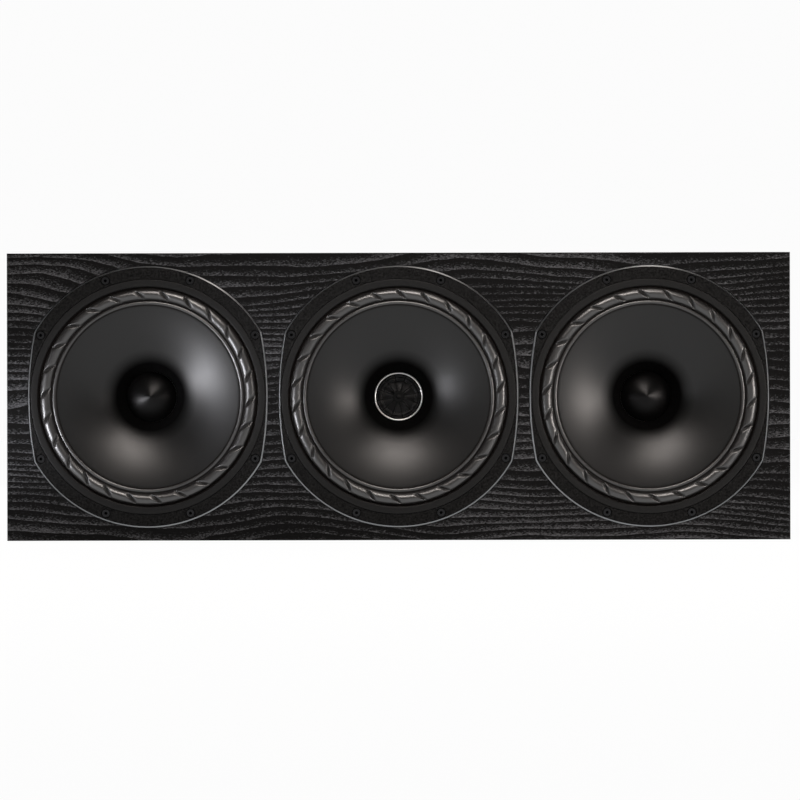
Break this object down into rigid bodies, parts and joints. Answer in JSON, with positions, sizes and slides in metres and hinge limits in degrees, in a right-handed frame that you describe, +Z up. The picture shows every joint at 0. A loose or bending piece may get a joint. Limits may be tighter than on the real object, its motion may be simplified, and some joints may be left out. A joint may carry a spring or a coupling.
{
  "type": "lcr speaker",
  "caption": "Wide low loudspeaker cabinet in black ash with round cone drivers in a row, pleated surrounds and a tweeter in the throat of the middle driver.",
  "frame": {"origin": "middle of the underside of the cabinet, on the bottom panel's outer face", "axes": "+Z up, +X along the baffle to the right as seen from the front, front faces -Y"},
  "size_m": [0.6812, 0.3352, 0.25],
  "materials": {
    "black_ash": "black stained ash veneer, satin",
    "raw_board": "bare fibreboard",
    "frame_coat": "textured black powder coat on die casting",
    "trim_rubber": "smooth satin",
    "surround_rubber": "satin",
    "cone_skin": "coated, satin black",
    "cap_skin": "coated, satin black",
    "spider_cloth": "resin dipped weave",
    "coil_copper": "enamelled wire",
    "motor_steel": "zinc plated",
    "ferrite": "matte sintered",
    "ring_metal": "bright turned",
    "plug_plastic": "matte",
    "dome_silk": "coated",
    "port_plastic": "matte",
    "plate_plastic": "fine texture",
    "post_brass": "gold plated",
    "red_plastic": "gloss",
    "black_plastic": "gloss",
    "screw_black": "black oxide",
    "board_fibre": "solder mask",
    "winding_copper": "enamelled wire",
    "can_film": "wrapped film",
    "cement": "cast cement",
    "lead_jacket": "satin",
    "felt": "fibrous"
  },
  "bodies": {
    "cabinet": {"front_baffle": "black_ash", "top_panel": "black_ash", "bottom_panel": "black_ash", "left_panel": "black_ash", "right_panel": "black_ash", "rear_panel": "black_ash", "left_divider": "raw_board", "right_divider": "raw_board", "left_port": "port_plastic", "right_port": "port_plastic", "terminal_plate": "plate_plastic", "red_post": "post_brass", "black_post": "post_brass", "driver_screws": "screw_black", "plate_screws": "screw_black", "crossover_board": "board_fibre", "inductors": "winding_copper", "capacitors": "can_film", "resistors": "cement", "internal_leads": "lead_jacket", "damping_pads": "felt", "tweeter_ring": "ring_metal", "tweeter_plug": "plug_plastic", "tweeter_surround": "dome_silk", "tweeter_plate": "motor_steel", "tweeter_magnet": "ferrite", "tweeter_cup": "motor_steel", "left_frame": "frame_coat", "left_trim_ring": "trim_rubber", "left_surround": "surround_rubber", "left_spider": "spider_cloth", "left_top_plate": "motor_steel", "left_magnet": "ferrite", "left_yoke": "motor_steel", "mid_frame": "frame_coat", "mid_trim_ring": "trim_rubber", "mid_surround": "surround_rubber", "mid_spider": "spider_cloth", "mid_top_plate": "motor_steel", "mid_magnet": "ferrite", "mid_yoke": "motor_steel", "right_frame": "frame_coat", "right_trim_ring": "trim_rubber", "right_surround": "surround_rubber", "right_spider": "spider_cloth", "right_top_plate": "motor_steel", "right_magnet": "ferrite", "right_yoke": "motor_steel"},
    "left_moving": {"left_cone": "cone_skin", "left_dust_cap": "cap_skin", "left_voice_coil": "coil_copper"},
    "mid_moving": {"mid_cone": "cone_skin", "mid_voice_coil": "coil_copper"},
    "right_moving": {"right_cone": "cone_skin", "right_dust_cap": "cap_skin", "right_voice_coil": "coil_copper"},
    "dome_moving": {"tweeter_dome": "dome_silk", "tweeter_coil": "coil_copper"},
    "red_turning": {"red_cap": "red_plastic"},
    "black_turning": {"black_cap": "black_plastic"}
  },
  "joints": [
    {"name": "left_cone_travel", "type": "slide", "parent": "cabinet", "child": "left_moving", "axis": [0, -1, 0], "range_m": [-0.005, 0.005], "stiffness_N_per_m": 1500, "deforming": ["left_surround", "left_spider"]},
    {"name": "mid_cone_travel", "type": "slide", "parent": "cabinet", "child": "mid_moving", "axis": [0, -1, 0], "range_m": [-0.005, 0.005], "stiffness_N_per_m": 1500, "deforming": ["mid_surround", "mid_spider"]},
    {"name": "right_cone_travel", "type": "slide", "parent": "cabinet", "child": "right_moving", "axis": [0, -1, 0], "range_m": [-0.005, 0.005], "stiffness_N_per_m": 1500, "deforming": ["right_surround", "right_spider"]},
    {"name": "tweeter_dome_travel", "type": "slide", "parent": "cabinet", "child": "dome_moving", "axis": [0, -1, 0], "range_m": [-0.0003, 0.0003], "stiffness_N_per_m": 20, "deforming": ["tweeter_surround"]},
    {"name": "red_cap_turn", "type": "hinge", "parent": "cabinet", "child": "red_turning", "pos_m": [-0.015, 0.17, 0.125], "axis": [0, 1, 0], "continuous": true},
    {"name": "black_cap_turn", "type": "hinge", "parent": "cabinet", "child": "black_turning", "pos_m": [0.015, 0.17, 0.125], "axis": [0, 1, 0], "continuous": true}
  ]
}
